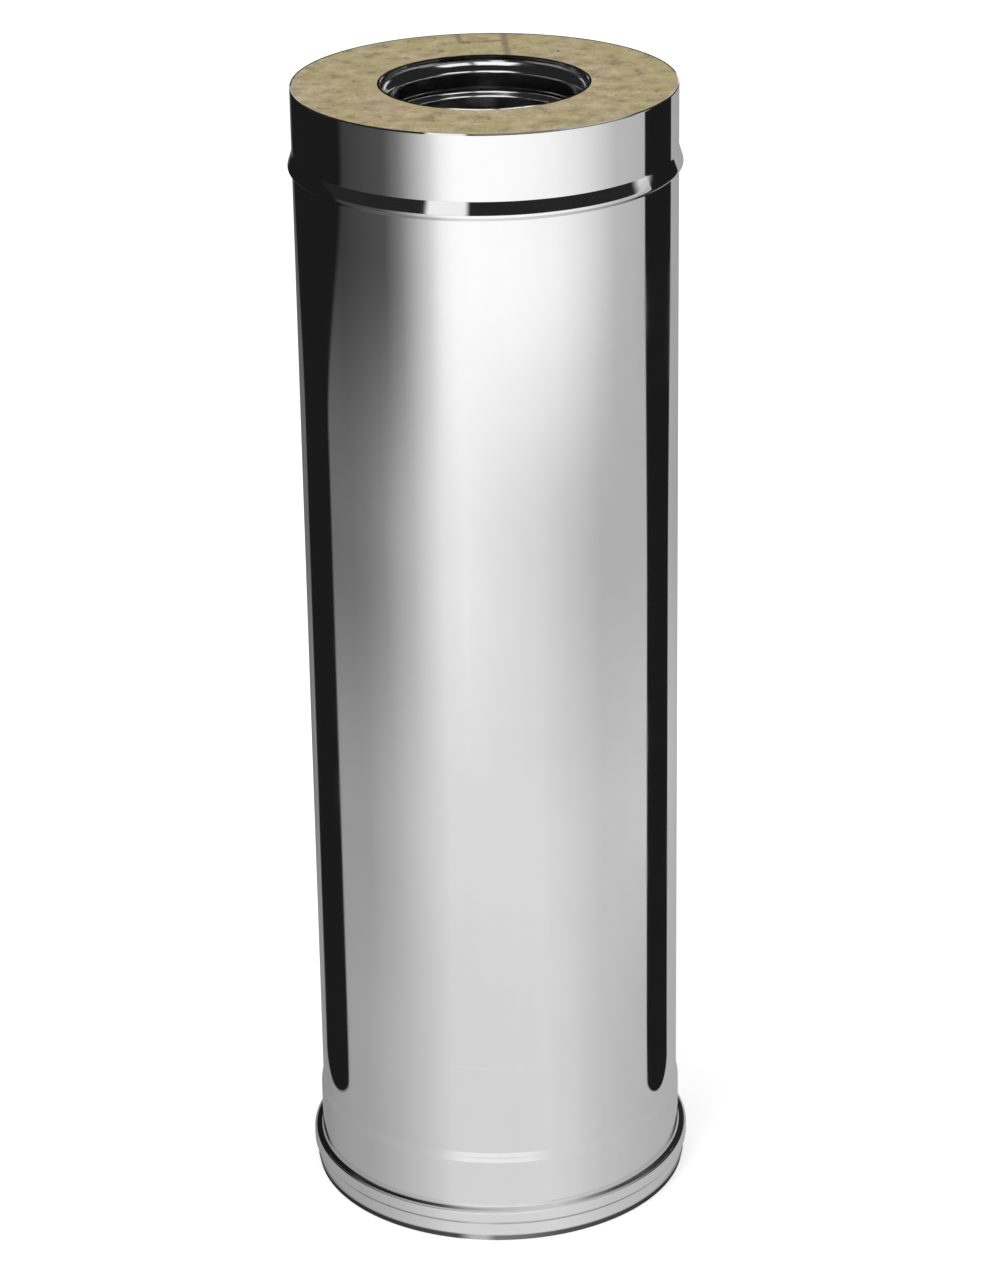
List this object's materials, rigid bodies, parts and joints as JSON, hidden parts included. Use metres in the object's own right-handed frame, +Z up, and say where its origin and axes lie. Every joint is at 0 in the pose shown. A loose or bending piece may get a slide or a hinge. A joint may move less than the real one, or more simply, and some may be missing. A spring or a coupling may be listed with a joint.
{
  "type": "insulated chimney pipe",
  "caption": "Straight twin-wall flue section: polished steel shell round a mineral wool ring and an inner flue pipe, with spigot and socket ends.",
  "frame": {"origin": "on the pipe's axis, in the plane of the shell's lowest edge, which it stands on", "axes": "+Z up along the pipe's axis, from the socket end to the spigot end"},
  "size_m": [0.1693, 0.1694, 0.5],
  "materials": {
    "polished_steel": "mirror polished",
    "flue_steel": "bright rolled",
    "mineral_wool": "matte fibrous"
  },
  "bodies": {
    "root": {"outer_shell": "polished_steel", "inner_pipe": "flue_steel", "insulation": "mineral_wool"}
  },
  "joints": []
}
